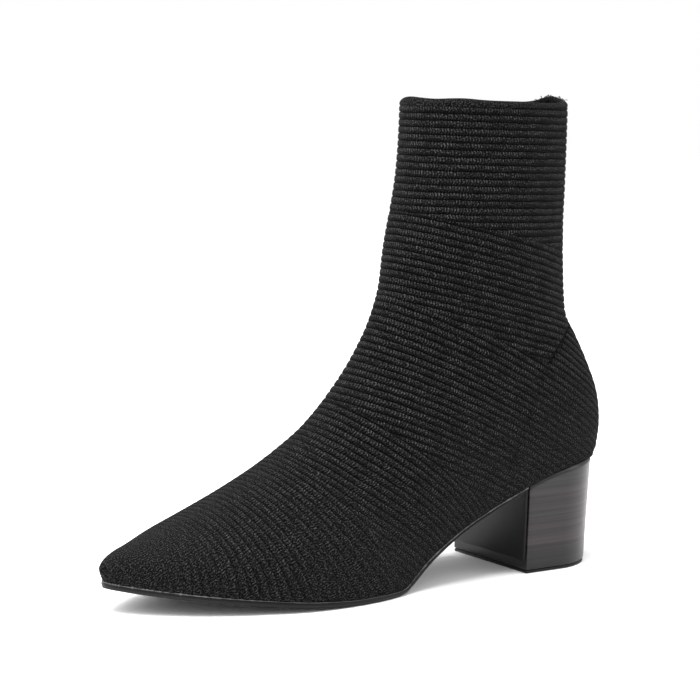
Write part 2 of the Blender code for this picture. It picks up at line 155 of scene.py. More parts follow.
THREAD_LEAN = 0.0012  # how far a cut end leans at the most
THREAD_RISE = (0.0005, 0.0017)
THREAD_ROOT, THREAD_TIP = 0.0002, 0.00012  # radius where it leaves the rim, and at its end

# Heel and sole
HEEL_EDGE = 0.0004  # rounding of the block's bottom edge
HEEL_CORNER = 0.0006  # rounding of its two upright corners
OUTSOLE_EDGE = 0.0003
TOP_LIFT_EDGE = 0.0002
CEMENT_START, CEMENT_END = 0.12, 14.7  # rows of the last between which cement shows
CEMENT_OUT, CEMENT_DROP = 0.00022, 0.0001  # out from the feather line, and below it
CEMENT_POINTS = 420  # along each side
CEMENT_THIN = 0.00008  # radius of the line of cement between its beads
BEAD, TOE_BEAD, SHANK_BEAD = 0.0001, 0.0005, 0.0004  # added by a bead: anywhere, at toe, at shank


def mix(a, b, share):
    return a + (b - a) * share


def smooth_step(value, low, high):
    share = np.clip((value - low) / (high - low), 0.0, 1.0)
    return share * share * (3 - 2 * share)


def along_x(share):
    return BACK_X + share * FOOT_LENGTH


def share_of(x):
    return (x - BACK_X) / FOOT_LENGTH


def spline(knots, place):
    """A smooth curve through knots[1] to knots[-2], at place 0, 1, 2 and so on."""
    span = min(max(int(math.floor(place)), 0), len(knots) - 4)
    t = place - span
    a, b, c, d = knots[span : span + 4]
    slope_b, slope_c = (c - a) / 2, (d - b) / 2
    return (
        b * (2 * t**3 - 3 * t**2 + 1)
        + slope_b * (t**3 - 2 * t**2 + t)
        + c * (3 * t**2 - 2 * t**3)
        + slope_c * (t**3 - t**2)
    )


def even(values):
    return [values[1], *values, values[-2]]


def straight(values):
    return [2 * values[0] - values[1], *values, 2 * values[-1] - values[-2]]


def level_start(values):
    return [values[1], *values, 2 * values[-1] - values[-2]]


def table_value(rows, share):
    shares = [row[0] for row in rows]
    heights = [row[1] for row in rows]
    share = min(max(share, shares[0]), shares[-1])
    span = max(i for i in range(len(rows) - 1) if shares[i] <= share)
    low, high = shares[span], shares[span + 1]

    def slope(i):
        if i in (0, len(rows) - 1):
            return 0.0
        return (heights[i + 1] - heights[i - 1]) / (shares[i + 1] - shares[i - 1])

    t = (share - low) / (high - low)
    return (
        heights[span] * (2 * t**3 - 3 * t**2 + 1)
        + slope(span) * (high - low) * (t**3 - 2 * t**2 + t)
        + heights[span + 1] * (3 * t**2 - 2 * t**3)
        + slope(span + 1) * (high - low) * (t**3 - t**2)
    )


def sole_bottom(x):
    share = share_of(x)
    if share < TREAD_BACK:
        return SEAT_HEIGHT * table_value(SHANK_CURVE, share)
    if share < TREAD_FRONT:
        return 0.0
    return TOE_SPRING * ((share - TREAD_FRONT) / (1 - TREAD_FRONT)) ** SPRING_POWER


def sole_thickness(x):
    return mix(SHANK_THICKNESS, SOLE_THICKNESS, smooth_step(share_of(x), SKIVE_BACK, SKIVE_FRONT))


def stacked(x, layers):
    """Height of a layer above the sole's underside, with its thickness square to it."""
    step = FOOT_LENGTH / 500
    slope = (sole_bottom(x + step) - sole_bottom(x - step)) / (2 * step)
    return sole_bottom(x) + layers * math.hypot(1.0, slope)


def feather_z(x):
    return stacked(x, sole_thickness(x) + SEAM_GAP)


def local_width(x):
    return mix(SEAT_WIDTH, BALL_WIDTH, smooth_step(share_of(x), SEAT_END, BALL_START))


def sway(x):
    past_ball = np.maximum(share_of(x) - BALL_START, 0.0) / (1 - BALL_START)
    return -TOE_SWAY * past_ball**2


def last_tracks():
    """Splines through the rows of the last, one for each value."""
    rows = []
    for row in FOOT_ROWS:
        x, width = along_x(row.along), local_width(along_x(row.along))
        rows.append(
            dict(
                base_x=x,
                outer=row.outer * width,
                inner=row.inner * width,
                crest_x=along_x(row.crest),
                crest_z=feather_z(x) + row.rise * INSTEP_RISE,
                bulge_outer=row.bulge_outer * width,
                bulge_inner=row.bulge_inner * width,
                bulge_at=row.bulge_at,
                back_power=row.back_power,
                power=row.power,
            )
        )
    corner, seat = rows[-1], feather_z(BACK_X)
    leg_x, leg_z = [BACK_X], [seat]
    for row in LEG_ROWS:
        leg_x.append(mix(BACK_X, BACK_X + COLLAR_SETBACK, row.back))
        leg_z.append(mix(seat, BOOT_HEIGHT, row.back_up))
        rows.append(
            dict(
                crest_x=mix(corner["crest_x"], BACK_X + COLLAR_SETBACK + COLLAR_DEPTH, row.front),
                crest_z=mix(corner["crest_z"], BOOT_HEIGHT, row.front_up),
                bulge_outer=mix(corner["bulge_outer"], COLLAR_WIDTH / 2, row.front) * row.pinch,
                bulge_inner=mix(corner["bulge_inner"], COLLAR_WIDTH / 2, row.front) * row.pinch,
                bulge_at=row.bulge_at,
                back_power=row.back_power,
                power=corner["power"],
            )
        )
    tracks = {}
    for name in ("crest_x", "bulge_at", "back_power", "power"):
        tracks[name] = level_start([row[name] for row in rows])
    for name in ("crest_z", "bulge_outer", "bulge_inner"):
        tracks[name] = straight([row[name] for row in rows])
    foot = rows[: CORNER + 1]
    tracks["foot_x"] = even([row["base_x"] for row in foot])
    tracks["outer"] = straight([row["outer"] for row in foot])
    tracks["inner"] = straight([row["inner"] for row in foot])
    tracks["leg_x"], tracks["leg_z"] = straight(leg_x), straight(leg_z)
    return tracks


TRACKS = last_tracks()


def section_side(place, side, count):
    """One side of the last's section, from the feather edge to the crest, evenly spaced."""
    value = {name: spline(TRACKS[name], place) for name in ("crest_x", "crest_z", "bulge_at")}
    back_power, power = spline(TRACKS["back_power"], place), spline(TRACKS["power"], place)
    bulge = max(spline(TRACKS["bulge_outer" if side > 0 else "bulge_inner"], place), 0.0)
    if place <= CORNER:
        base_x = spline(TRACKS["foot_x"], place)
        base_z = feather_z(base_x)
        feather = max(spline(TRACKS["outer" if side > 0 else "inner"], place), 0.0)
    else:
        base_x, base_z = (spline(TRACKS[name], place - CORNER) for name in ("leg_x", "leg_z"))
        feather = 0.0
    up = 0.5 - 0.5 * np.cos(np.linspace(0.0, math.pi, SECTION_POINTS))
    x, z = mix(base_x, value["crest_x"], up), mix(base_z, value["crest_z"], up)
    width = np.zeros_like(up)
    if bulge > 0:
        hollow = 1 - (feather / bulge) ** back_power
        low = 1 - np.clip(1 - up / value["bulge_at"], 0, 1) ** back_power * hollow
        rest = np.clip((up - value["bulge_at"]) / (1 - value["bulge_at"]), 0, 1)
        high = np.maximum(1 - rest**power, 0.0) ** (1 / power)
        low = np.maximum(low, 0.0) ** (1 / back_power)
        width = bulge * np.where(up < value["bulge_at"], low, high)
    points = np.stack([x, side * width + sway(x), z], -1)
    run = np.r_[0.0, np.cumsum(np.linalg.norm(np.diff(points, axis=0), axis=1))]
    wanted = np.linspace(0.0, run[-1], count)
    return np.stack([np.interp(wanted, run, points[:, k]) for k in range(3)], -1)


def edge_at(place, side, inset):
    """The feather line moved inwards in plan, as x and y."""
    name = "outer" if side > 0 else "inner"
    reach = 0.01
    before, after = max(place - reach, 0.0), min(place + reach, float(CORNER))
    run_x = spline(TRACKS["foot_x"], after) - spline(TRACKS["foot_x"], before)
    run_y = spline(TRACKS[name], after) - spline(TRACKS[name], before)
    length = math.hypot(run_x, run_y)
    x = spline(TRACKS["foot_x"], place) - run_y / length * inset
    width = spline(TRACKS[name], place) + run_x / length * inset
    return x, side * max(width, 0.0) + sway(x)


def last_surface():
    """Points and normals over the last: a row for each place, a column from inner to outer edge."""
    places = np.arange(COLLAR * STEPS + 1) / STEPS
    points = []
    for place in places:
        inner = section_side(place, -1, SIDE)
        outer = section_side(place, 1, SIDE)[::-1]
        lips = []
        for side, end in ((-1, inner[0]), (1, outer[-1])):
            lip = end
            if place <= CORNER:
                x, y = edge_at(place, side, LIP)
                lip = np.array((x, y, feather_z(x) - LIP_DROP))
            lips.append(lip[None])
        points.append(np.vstack([lips[0], inner, outer[1:], lips[1]]))
    points = np.array(points)
    down = np.gradient(points, axis=0)
    across = np.gradient(points, axis=1)
    leg = slice(CORNER * STEPS, None)
    around = points[leg, 2] - points[leg, -3]
    for k in (0, 1, -1, -2):
        across[leg, k] = around
    normals = np.cross(across, down)
    length = np.linalg.norm(normals, axis=2, keepdims=True)
    normals = normals / np.maximum(length, 1e-12)
    both = normals[leg, 1] + normals[leg, -2]
    for k in (0, 1, -1, -2):
        normals[leg, k] = both / np.linalg.norm(both, axis=1, keepdims=True)
    normals[:2] = normals[2]
    return places, points, normals


PLACES, SURFACE, NORMALS = last_surface()
COLUMNS = SURFACE.shape[1]


def at_places(table, places):
    """Values of a table over the last, at a grid of places with a column for each column."""
    at = np.clip(places * STEPS, 0, len(PLACES) - 1 - 1e-9)
    low = np.floor(at).astype(int)
    columns = np.broadcast_to(np.arange(COLUMNS), places.shape)
    share = (at - low).reshape(places.shape + (1,) * (table.ndim - 2))
    return mix(table[low, columns], table[low + 1, columns], share)


def on_surface(places):
    """Points and normals at a grid of places."""
    normals = at_places(NORMALS, places)
    length = np.linalg.norm(normals, axis=-1, keepdims=True)
    return at_places(SURFACE, places), normals / np.maximum(length, 1e-9)


def distance_to(places, edge):
    """How far each point is, along its column, from a panel's edge."""
    here, _ = on_surface(places)
    there, _ = on_surface(np.broadcast_to(edge, places.shape))
    return np.linalg.norm(here - there, axis=-1)


def run_across(points):
    """How far each point is along its row, in mm."""
    step = np.linalg.norm(np.diff(points, axis=1), axis=2)
    return np.concatenate([np.zeros((len(points), 1)), np.cumsum(step, axis=1)], axis=1) * 1000


def crossing(field, level):
    """The place at which each column of the last reaches a level of a field that rises upwards."""
    risen = np.maximum.accumulate(field, axis=0)
    return np.array([np.interp(level, risen[:, k], PLACES) for k in range(COLUMNS)])


def line_field(line):
    """Height above a line drawn over the side of the boot, as pairs of x and z in mm."""
    x, z = (np.array(values) / 1000 for values in zip(*line))
    return SURFACE[..., 2] - np.interp(SURFACE[..., 0], x, z)


def rib_field(ribs):
    """A panel's ribs as a field over the whole last, wavering a little as knitting does."""
    x, z = SURFACE[..., 0] * 1000, SURFACE[..., 2] * 1000
    waver = 0.020 * np.sin(0.31 * x + 0.17 * z) + 0.015 * np.sin(0.83 * x - 0.29 * z + 1.3)
    return ribs(x, z) + waver


# Ribs in each knitted panel: a field over x and z in mm, with a valley at each whole number
def collar_ribs(x, z):
    return (z - 0.025 * x) / 3.13


def ankle_ribs(x, z):
    return (0.965 * (z - 0.27 * x) - 140.5) / 3.1


def heel_ribs(x, z):
    return (0.887 * (z - 0.60 * x + 0.0011 * x * x) - 75.0) / 3.05


def instep_ribs(x, z):
    past = x - 106
    return (0.82 * (z - 0.68 * past - 0.00005 * past**3) - 56.0) / 3.15


def toe_ribs(x, z):
    start = (x - 1.65 * z) / (1 - 0.0080 * z)
    return np.log(np.maximum(1 - 0.029 * (start - 104) / 6.1, 0.2)) / 0.029


# Where one panel's ribs run out against the next one's first rib, as x and z in mm
ANKLE_LINE = ((-60, 131), (8, 148.3), (27, 152.5), (54, 158.4), (77, 164.4), (100, 171))
HEEL_LINE = (
    (-40, 131),
    (-16, 116),
    (0, 110.6),
    (6, 106.8),
    (16.4, 96.5),
    (27, 101.4),
    (42.5, 108),
    (65.6, 118.6),
    (85, 127),
    (110, 139),
)
INSTEP_LINE = (
    (-40, 0),
    (20, 20),
    (47, 36.8),
    (60, 43.5),
    (79, 57),
    (88, 64.1),
    (98, 71.2),
    (113, 83),
    (130, 97),
)
TOE_LINE = (
    (60, -60),
    (92, 0),
    (100, 10),
    (107, 20),
    (114, 29.4),
    (121, 37.4),
    (128, 46),
    (134, 54.5),
    (140, 64),
    (150, 80),
)


def rib_height(phase):
    """A cord's section: 0 in the valley, 1 on the crest."""
    share = np.abs(2 * (phase - np.floor(phase)) - 1)
    return (1 - share**4) ** 0.75


def finished(shape, name):
    """A piece made of a shape that is done, at the origin."""
    mesh = bpy.data.meshes.new(name)
    shape.to_mesh(mesh)
    shape.free()
    piece = bpy.data.objects.new(name, mesh)
    bpy.context.scene.collection.objects.link(piece)
    return piece


def grid_mesh(name, points, phases=None, run=None, marks=None):
    """A grid of rows and columns laid over given points, with run and phase as its UV map."""
    rows, columns = points.shape[:2]
    shape = bmesh.new()
    bmesh.ops.create_grid(shape, x_segments=columns - 1, y_segments=rows - 1, size=1.0)
    shape.verts.ensure_lookup_table()
    order = np.array([(v.co.y, v.co.x) for v in shape.verts])
    row = np.rint((order[:, 0] + 1) / 2 * (rows - 1)).astype(int)
    column = np.rint((order[:, 1] + 1) / 2 * (columns - 1)).astype(int)
    for vert, place in zip(shape.verts, points[row, column]):
        vert.co = place
    if phases is not None:
        layer = shape.loops.layers.uv.new("knit")
        across, along = run[row, column], phases[row, column]
        for face in shape.faces:
            for loop in face.loops:
                k = loop.vert.index
                loop[layer].uv = (across[k], along[k])
    for mark, values in (marks or {}).items():
        layer = shape.verts.layers.float.new(mark)
        for vert, value in zip(shape.verts, values[row, column]):
            vert[layer] = value
    bmesh.ops.remove_doubles(shape, verts=shape.verts, dist=0.000004)
    bmesh.ops.dissolve_degenerate(shape, edges=shape.edges, dist=0.000002)
    piece = finished(shape, name)
    piece.data.shade_smooth()
    return piece


def relief_fade(points):
    """1 where ribs stand proud on the shaft, less toward the sole, over the toe and its ridge."""
    # in mm along the boot: the waist ends at 105, the ball lies at 140 and the toe starts at 168
    x, z = points[..., 0] * 1000, points[..., 2] * 1000
    stations = np.linspace(BACK_X, along_x(1.0), 60)
    above = z - np.interp(x / 1000, stations, [feather_z(v) for v in stations]) * 1000
    lowest = mix(mix(0.45, 0.25, smooth_step(x, 85, 105)), 0.5, smooth_step(x, 140, 170))
    edge = smooth_step(above, 0.0, 2.0) * mix(lowest, 1.0, smooth_step(above, 5.0, 75.0))
    toe = 1 - 0.75 * smooth_step(x, 168, 214)
    aside = np.abs(np.arange(points.shape[1]) / SIDE - 1)
    ridge = (1 - smooth_step(aside, 0.0, 0.3)) * smooth_step(x, 100, 140)
    return edge * toe * (1 - 0.5 * ridge)


# Seams over both sides, as x and z in mm, half-width in mm and strength
SEAMS = (
    (((16.4, 96.0), (11.4, 101.2), (6, 106.4), (0, 110.2), (-16, 115.5)), 0.62, 0.8),
    (((16.4, 95.8), (23.6, 80.4), (32, 62.9), (34.6, 56.3), (38, 49)), 1.0, 0.45),
)


def seam_shade(points):
    """1 in the middle of a seam, 0 away from it."""
    shade = np.zeros(points.shape[:-1])
    flat = points[..., (0, 2)] * 1000
    for line, half, strength in SEAMS:
        for start, end in zip(line, line[1:]):
            start, run = np.array(start), np.subtract(end, start)
            share = np.clip(((flat - start) @ run) / (run @ run), 0, 1)
            gap = np.linalg.norm(flat - start - share[..., None] * run, axis=-1)
            shade = np.maximum(shade, strength * (1 - smooth_step(gap, 0.25 * half, 1.4 * half)))
    return shade


def knit_panel(name, ribs, upper_edge, lower_edge):
    """One panel of ribs between two edges, each given as a place on every column of the last."""
    field = rib_field(ribs)
    rows = PLACES[:, None]
    inside = (rows <= upper_edge[None] + 0.1) & (rows >= lower_edge[None] - 0.1)
    top = math.ceil(field[inside].max())
    bottom = math.floor(field[inside].min())
    levels = [rib - share for rib in range(top, bottom - 1, -1) for share in ROWS_PER_RIB]
    places = crossing(field, levels).T
    places = np.clip(places, lower_edge[None], upper_edge[None])
    used = np.r_[True, np.abs(np.diff(places, axis=0)).max(axis=1) > 1e-6]
    places = places[used]
    points, normals = on_surface(places)
    phases = at_places(field, places)
    run = run_across(points)
    run -= run[:, SIDE : SIDE + 1]
    near = np.minimum(distance_to(places, upper_edge), distance_to(places, lower_edge))
    rib = mix(EDGE_KNIT, rib_height(phases), smooth_step(near * 1000, 0.0, EDGE_BLEND))
    fade = relief_fade(points)
    shade = seam_shade(points)
    lift = (mix(FLAT_KNIT, rib, fade) - RIB_SINK) * RIB_DEPTH - shade * SEAM_DEPTH
    points = points + normals * lift[..., None]
    return grid_mesh(name, points, phases, run, {"seam_and_painted_shade": shade, "ribbed": fade})


# The rolled hem's section: mm below the collar's top, and mm out from the upper
HEM_SECTION = (
    (3.7, -0.50),
    (3.45, -0.20),
    (3.1, 0.05),
    (2.5, 0.18),
    (1.9, 0.08),
    (1.3, -0.22),
    (0.8, -0.65),
    (0.35, -1.2),
    (0.08, -1.7),
    (0.0, -2.1),
    (0.15, -2.5),
    (0.6, -2.85),
    (1.4, -3.0),
    (2.6, -3.0),
    (4.2, -2.7),
    (6.0, -2.2),
    (9.0, -1.9),
)
# How far the rim waves up, in mm, from the inner side of the back round the front to the outer
HEM_WAVE = (
    (-1.0, 1.3),
    (-0.95, 1.2),
    (-0.93, 0.6),
    (-0.9, -0.6),
    (-0.85, -1.5),
    (-0.6, -1.6),
    (-0.3, -1.0),
    (-0.12, 0.0),
    (-0.04, 0.8),
    (0.0, 0.9),
    (0.06, 0.4),
    (0.12, 0.0),
    (0.2, 0.45),
    (0.25, 0.45),
    (0.3, -0.1),
    (0.35, -0.45),
    (0.42, -0.65),
    (0.5, -0.8),
    (0.56, -1.2),
    (0.63, -1.5),
    (0.72, -1.4),
    (0.8, -0.9),
    (0.9, 0.0),
    (1.0, 1.3),
)


def rim_rise(around):
    """How far the rim waves up at shares of the way round, in metres."""
    shares, heights = (np.array(values) for values in zip(*HEM_WAVE))
    turns = np.arange(-60, 61) / 60
    window = np.exp(-((turns * 3) ** 2))
    nearby = np.interp(np.add.outer(around, turns * RIM_BLUR), shares, heights)
    return np.average(nearby, axis=1, weights=window) / 1000


def make_hem():
    """The knit turned over at the collar, from the first rib up over the rim and down inside."""
    down = np.array([point[0] for point in HEM_SECTION]) / 1000
    out = np.array([point[1] for point in HEM_SECTION]) / 1000
    places = crossing(SURFACE[..., 2], BOOT_HEIGHT - down).T
    points, normals = on_surface(places)
    points = points + normals * out[:, None, None]
    rise = rim_rise(np.linspace(-1, 1, COLUMNS))
    points[..., 2] += rise * smooth_step(WAVE_REACH - down, 0.0, WAVE_REACH - WAVE_FULL)[:, None]
    run = run_across(points)
    run -= run[:, SIDE : SIDE + 1]
    drop = np.r_[0.0, np.cumsum(np.hypot(np.diff(down), np.diff(out)))] * 1000
    phases = np.broadcast_to(drop[:, None] / RIB_PITCH, run.shape)
    # painted shade: down inside the collar the knit is painted as dark as in a seam
    painted_inner_shade = np.broadcast_to(smooth_step(drop[:, None], 5.5, 9.0), run.shape)
    return grid_mesh("collar_hem", points, phases, run, {"seam_and_painted_shade": painted_inner_shade})


def make_lining():
    """The inside of the upper, as far down as the insole."""
    top = crossing(SURFACE[..., 2], [BOOT_HEIGHT - LINING_TOP])[:, 0]
    points, normals = on_surface(np.linspace(0.02, 1.0, 90)[:, None] * top[None])
    points = (points - normals * UPPER_WALL)[::-1, ::4]
    return grid_mesh("lining", points)


def heel_ring(height, inset, rounding):
    """The heel's D-shaped plan at a height, as x and y all the way round from the breast's middle."""
    width = mix(HEEL_WIDTH, SEAT_WIDTH, height / SEAT_HEIGHT) / 2 - inset
    depth = mix(HEEL_DEPTH, HEEL_TOP_DEPTH, height / SEAT_HEIGHT) - inset
    front, back = BREAST_X - inset, BREAST_X - depth
    corner = np.linspace(0, math.pi / 2, 7)
    arc = np.linspace(0, math.pi / 2, 33)
    flat = width - rounding
    x = [np.full(5, front), front - rounding + rounding * np.cos(corner)]
    y = [np.linspace(0, flat, 6)[:-1], flat + rounding * np.sin(corner)]
    x += [np.linspace(front - rounding, back + width, 8)[1:-1], back + width - width * np.sin(arc)]
    y += [np.full(6, width), width * np.cos(arc)]
    x, y = np.concatenate(x), np.concatenate(y)
    return np.concatenate([x, x[-2::-1]]), np.concatenate([y, -y[-2::-1]])


def make_heel():
    """The block, with its bottom edge rounded and its top cut to the slope of the seat."""
    low = TOP_LIFT_THICKNESS + SEAM_GAP
    turns = (0.0, 0.5, 1.0, 1.57)
    rows = [(HEEL_EDGE * (1 - math.cos(a)), 0.0, HEEL_EDGE * (1 - math.sin(a))) for a in turns]
    rows += [(HEEL_EDGE, share, 0.0) for share in np.linspace(0, 1, 25)[1:]]
    rings = []
    for rise, share, inset in rows:
        x, y = heel_ring(mix(low, SEAT_HEIGHT, share), inset, HEEL_CORNER)
        top = np.array([stacked(v, sole_thickness(v)) for v in x])
        rings.append(np.stack([x, y, mix(low + rise, top, share)], -1))
    underside = np.broadcast_to((0.0, 0.0, low), rings[0].shape)
    lid = rings[-1] * (1.0, 0.0, 1.0)
    points = np.array([underside, *rings, lid])
    return grid_mesh("heel_wrap", points[:, ::-1])


def rounded_copy(node, name, width):
    """A copy of a CAD node with its sharp edges rounded."""
    shape = bmesh.new()
    shape.from_mesh(node.data)
    bmesh.ops.remove_doubles(shape, verts=shape.verts, dist=0.00001)
    bmesh.ops.dissolve_limit(shape, angle_limit=0.02, verts=shape.verts, edges=shape.edges)
    joined = [edge for edge in shape.edges if len(edge.link_faces) == 2]
    bmesh.ops.bevel(
        shape,
        geom=[edge for edge in joined if edge.calc_face_angle() > 0.6],
        offset=width,
        offset_type="OFFSET",
        affect="EDGES",
        segments=2,
        profile=0.5,
        material=-1,
        clamp_overlap=True,
    )
    piece = finished(shape, name)
    piece.data.shade_smooth()
    piece.data.set_sharp_from_angle(angle=math.radians(40))
    return piece


def tube(name, path, radii, sides=8):
    """A tube round a path, closed at both ends."""
    path = np.array(path)
    run = np.gradient(path, axis=0)
    run /= np.linalg.norm(run, axis=1, keepdims=True)
    side = np.cross(run, (0.0, 0.0, 1.0))
    side /= np.linalg.norm(side, axis=1, keepdims=True)
    up = np.cross(side, run)
    turn = np.linspace(0, 2 * math.pi, sides + 1)
    ring = np.cos(turn)[None, :, None] * side[:, None] + np.sin(turn)[None, :, None] * up[:, None]
    points = path[:, None] + ring * np.array(radii)[:, None, None]
    ends = [np.repeat(end[None, None], sides + 1, axis=1) for end in (path[0], path[-1])]
    return grid_mesh(name, np.concatenate([ends[0], points, ends[1]]))


def make_glue_line():
    """Rough beads of cement that squeezed out between upper and sole."""
    one_way = np.linspace(CEMENT_END, CEMENT_START, CEMENT_POINTS)
    places = np.r_[one_way, np.linspace(CEMENT_START, CEMENT_END, CEMENT_POINTS)]
    sides = np.repeat((1.0, -1.0), CEMENT_POINTS)
    path = []
    for place, side in zip(places, sides):
        x, y = edge_at(place, side, -CEMENT_OUT)
        path.append((x, y, feather_z(x) - CEMENT_DROP))
    noise = np.random.default_rng(5).random(2 * CEMENT_POINTS)
    blobs = np.convolve(noise, (0.25, 0.5, 0.25), "same") ** 2
    toe, shank = 1 - smooth_step(places, 4.0, 8.0), smooth_step(places, 9.5, 11.5)
    beads = (BEAD + TOE_BEAD * toe + SHANK_BEAD * shank) * blobs
    return tube("glue_line", path, CEMENT_THIN + beads)


def make_threads():
    """Cut ends of yarn that stand up from the rim at the back of the collar."""
    places = crossing(SURFACE[..., 2], [BOOT_HEIGHT - 0.0003])[:, 0][None]
    points, normals = on_surface(places)
    chance = np.random.default_rng(11)
    shape = bmesh.new()
    for k in THREAD_COLUMNS:
        base, out = points[0, k] - normals[0, k] * UPPER_WALL, normals[0, k]
        base[2] += rim_rise(np.array([k / SIDE - 1]))[0]
        lean = out * chance.uniform(-THREAD_LEAN, THREAD_LEAN + 0.0004)
        lean += np.append(chance.uniform(-THREAD_LEAN, THREAD_LEAN, 2), 0)
        rise = chance.uniform(*THREAD_RISE)
        share = np.linspace(0, 1, 9)[:, None]
        path = base + lean * share**1.6 + np.array((0, 0, rise)) * np.sin(share * 2.2)
        path[:, 2] -= THREAD_ROOT
        end = tube("thread", path, np.linspace(THREAD_ROOT, THREAD_TIP, 9), 5)
        shape.from_mesh(end.data)
        bpy.data.objects.remove(end)
    return finished(shape, "cut_threads")


def hex_colour(text):
    """Linear values from an sRGB hex colour."""
    values = [int(text[k : k + 2], 16) / 255 for k in (1, 3, 5)]
    return tuple(v / 12.92 if v <= 0.04045 else ((v + 0.055) / 1.055) ** 2.4 for v in values) + (1.0,)


def add_node(tree, kind, inputs, output=0, **settings):
    """An output of a new node with its settings; a socket is linked, and any other input is set."""
    node = tree.nodes.new("ShaderNode" + kind)
    for name, value in settings.items():
        setattr(node, name, value)
    for name, value in inputs.items():
        if isinstance(value, bpy.types.NodeSocket):
            tree.links.new(value, node.inputs[name])
        else:
            node.inputs[name].default_value = value
    return node.outputs[output]


def new_material(name):
    made = bpy.data.materials.new(name)
    made.use_nodes = True
    return made, made.node_tree, made.node_tree.nodes["Principled BSDF"]


